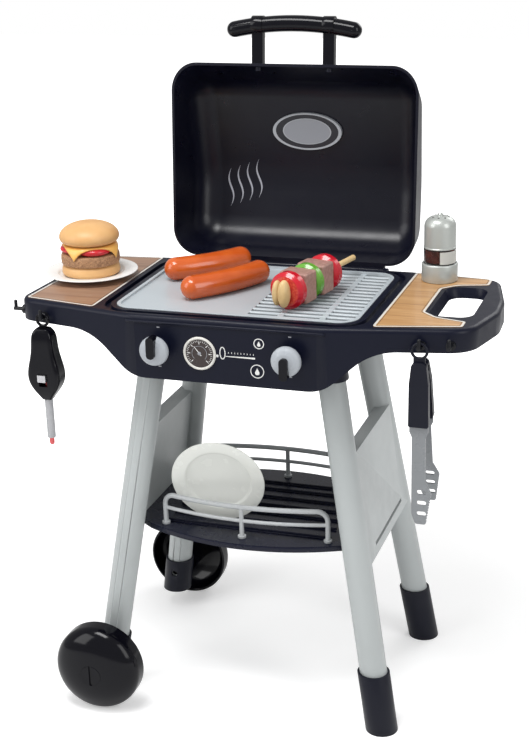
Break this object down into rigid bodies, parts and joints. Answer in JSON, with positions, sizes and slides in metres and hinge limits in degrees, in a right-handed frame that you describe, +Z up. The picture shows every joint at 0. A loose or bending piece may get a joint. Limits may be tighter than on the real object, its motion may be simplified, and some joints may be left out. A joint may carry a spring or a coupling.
{
  "type": "toy barbecue grill",
  "caption": "Free-standing toy barbecue grill with hinged lid, clicking knobs, wheeled legs, lower shelf, play food, tongs and probe.",
  "frame": {"origin": "on the floor under the middle of the whole grill's box", "axes": "+X to the right seen from the control panel, +Y to the back, +Z up"},
  "size_m": [0.527, 0.3736, 0.7409],
  "materials": {
    "table_top": "moulded plastic",
    "grill_plate": "moulded plastic",
    "right_wood_label": "moulded plastic",
    "left_wood_label": "moulded plastic",
    "gauge_dial": "moulded plastic",
    "left_leg_frame": "moulded plastic",
    "right_leg_frame": "moulded plastic",
    "front_left_foot": "moulded plastic",
    "rear_left_foot": "moulded plastic",
    "front_right_foot": "moulded plastic",
    "rear_right_foot": "moulded plastic",
    "leg_sockets": "moulded plastic",
    "socket_screws": "moulded plastic",
    "shelf": "moulded plastic",
    "front_rail": "moulded plastic",
    "rear_rail": "moulded plastic",
    "wheel_pins": "moulded plastic",
    "click_pawls": "moulded plastic",
    "lid_hinge_pins": "moulded plastic",
    "utensil_hooks": "moulded plastic",
    "lid_shell": "moulded plastic",
    "lid_handle": "moulded plastic",
    "lid_badge": "moulded plastic",
    "handle_screws": "moulded plastic",
    "left_knob_disc": "moulded plastic",
    "left_knob_grip": "moulded plastic",
    "left_click_wheel": "moulded plastic",
    "right_knob_disc": "moulded plastic",
    "right_knob_grip": "moulded plastic",
    "right_click_wheel": "moulded plastic",
    "front_wheel": "moulded plastic",
    "rear_wheel": "moulded plastic",
    "tongs_front_arm": "moulded plastic",
    "tongs_front_grip": "moulded plastic",
    "tongs_pin": "moulded plastic",
    "tongs_rear_arm": "moulded plastic",
    "tongs_rear_grip": "moulded plastic",
    "probe_handle": "moulded plastic",
    "probe_shaft": "moulded plastic",
    "probe_tip": "moulded plastic",
    "probe_button": "moulded plastic",
    "mill_base": "moulded plastic",
    "mill_window": "moulded plastic",
    "mill_peppercorns": "moulded plastic",
    "mill_cap": "moulded plastic",
    "serving_dish": "moulded plastic",
    "burger_bottom_bun": "moulded plastic",
    "burger_patty": "moulded plastic",
    "burger_tomato": "moulded plastic",
    "burger_cheese": "moulded plastic",
    "burger_top_bun": "moulded plastic",
    "front_sausage": "moulded plastic",
    "rear_sausage": "moulded plastic",
    "skewer_stick": "moulded plastic",
    "kebab_mushroom": "moulded plastic",
    "kebab_tomatoes": "moulded plastic",
    "kebab_meat": "moulded plastic",
    "kebab_pepper": "moulded plastic",
    "dinner_plate": "moulded plastic"
  },
  "bodies": {
    "grill": {"table_top": "table_top", "grill_plate": "grill_plate", "right_wood_label": "right_wood_label", "left_wood_label": "left_wood_label", "gauge_dial": "gauge_dial", "left_leg_frame": "left_leg_frame", "right_leg_frame": "right_leg_frame", "front_left_foot": "front_left_foot", "rear_left_foot": "rear_left_foot", "front_right_foot": "front_right_foot", "rear_right_foot": "rear_right_foot", "leg_sockets": "leg_sockets", "socket_screws": "socket_screws", "shelf": "shelf", "front_rail": "front_rail", "rear_rail": "rear_rail", "wheel_pins": "wheel_pins", "click_pawls": "click_pawls", "lid_hinge_pins": "lid_hinge_pins", "utensil_hooks": "utensil_hooks"},
    "lid": {"lid_shell": "lid_shell", "lid_handle": "lid_handle", "lid_badge": "lid_badge", "handle_screws": "handle_screws"},
    "left_knob": {"left_knob_disc": "left_knob_disc", "left_knob_grip": "left_knob_grip", "left_click_wheel": "left_click_wheel"},
    "right_knob": {"right_knob_disc": "right_knob_disc", "right_knob_grip": "right_knob_grip", "right_click_wheel": "right_click_wheel"},
    "front_wheel": {"front_wheel": "front_wheel"},
    "rear_wheel": {"rear_wheel": "rear_wheel"},
    "tongs": {"tongs_front_arm": "tongs_front_arm", "tongs_front_grip": "tongs_front_grip", "tongs_pin": "tongs_pin"},
    "tongs_rear": {"tongs_rear_arm": "tongs_rear_arm", "tongs_rear_grip": "tongs_rear_grip"},
    "probe": {"probe_handle": "probe_handle", "probe_shaft": "probe_shaft"},
    "probe_plunger": {"probe_tip": "probe_tip", "probe_button": "probe_button"},
    "mill": {"mill_base": "mill_base", "mill_window": "mill_window", "mill_peppercorns": "mill_peppercorns"},
    "mill_cap": {"mill_cap": "mill_cap"},
    "dish": {"serving_dish": "serving_dish"},
    "burger": {"burger_bottom_bun": "burger_bottom_bun", "burger_patty": "burger_patty", "burger_tomato": "burger_tomato", "burger_cheese": "burger_cheese", "burger_top_bun": "burger_top_bun"},
    "front_sausage": {"front_sausage": "front_sausage"},
    "rear_sausage": {"rear_sausage": "rear_sausage"},
    "kebab": {"skewer_stick": "skewer_stick", "kebab_mushroom": "kebab_mushroom", "kebab_tomatoes": "kebab_tomatoes", "kebab_meat": "kebab_meat", "kebab_pepper": "kebab_pepper"},
    "dinner_plate": {"dinner_plate": "dinner_plate"}
  },
  "joints": [
    {"name": "lid_hinge", "type": "hinge", "parent": "grill", "child": "lid", "pos_m": [-0.00413, 0.09521, 0.4585], "axis": [-1, 0, 0], "range_deg": [-94.93, 0]},
    {"name": "left_knob_turn", "type": "hinge", "parent": "grill", "child": "left_knob", "pos_m": [-0.07583, -0.13769, 0.43], "axis": [0, -1, 0], "range_deg": [0, 180]},
    {"name": "right_knob_turn", "type": "hinge", "parent": "grill", "child": "right_knob", "pos_m": [0.06757, -0.13769, 0.43], "axis": [0, -1, 0], "range_deg": [-180, 0]},
    {"name": "front_wheel_spin", "type": "hinge", "parent": "grill", "child": "front_wheel", "pos_m": [-0.15993, -0.15079, 0.05], "axis": [0, 1, 0], "continuous": true},
    {"name": "rear_wheel_spin", "type": "hinge", "parent": "grill", "child": "rear_wheel", "pos_m": [-0.15993, 0.11941, 0.05], "axis": [0, 1, 0], "continuous": true},
    {"name": "tongs_swing", "type": "hinge", "parent": "grill", "child": "tongs", "pos_m": [0.19888, -0.12665, 0.447], "axis": [0, 1, 0], "range_deg": [-12, 12]},
    {"name": "tongs_open", "type": "hinge", "parent": "tongs", "child": "tongs_rear", "pos_m": [0.19888, -0.12215, 0.42385], "axis": [1, 0, 0], "range_deg": [-14, 0], "stiffness_Nm_per_rad": 0.05, "springref_deg": 11.46},
    {"name": "probe_swing", "type": "hinge", "parent": "grill", "child": "probe", "pos_m": [-0.21692, -0.12262, 0.447], "axis": [0, 1, 0], "range_deg": [-20, 20]},
    {"name": "probe_push", "type": "slide", "parent": "probe", "child": "probe_plunger", "axis": [0, 0, -1], "range_m": [0, 0.006], "stiffness_N_per_m": 60, "springref_m": -0.01},
    {"name": "mill_lift", "type": "slide", "parent": "grill", "child": "mill", "axis": [0, 0, 1], "range_m": [0, 0.06]},
    {"name": "mill_twist", "type": "hinge", "parent": "mill", "child": "mill_cap", "pos_m": [0.17987, 0.06131, 0.4834], "axis": [0, 0, 1], "continuous": true},
    {"name": "dish_lift", "type": "slide", "parent": "grill", "child": "dish", "axis": [0, 0, 1], "range_m": [0, 0.06]},
    {"name": "burger_lift", "type": "slide", "parent": "dish", "child": "burger", "axis": [0, 0, 1], "range_m": [0, 0.06]},
    {"name": "front_sausage_lift", "type": "slide", "parent": "grill", "child": "front_sausage", "axis": [0, 0, 1], "range_m": [0, 0.04]},
    {"name": "rear_sausage_lift", "type": "slide", "parent": "grill", "child": "rear_sausage", "axis": [0, 0, 1], "range_m": [0, 0.04]},
    {"name": "kebab_lift", "type": "slide", "parent": "grill", "child": "kebab", "axis": [0, 0, 1], "range_m": [0, 0.04]},
    {"name": "dinner_plate_lift", "type": "slide", "parent": "grill", "child": "dinner_plate", "axis": [0, 0, 1], "range_m": [0, 0.03]}
  ]
}
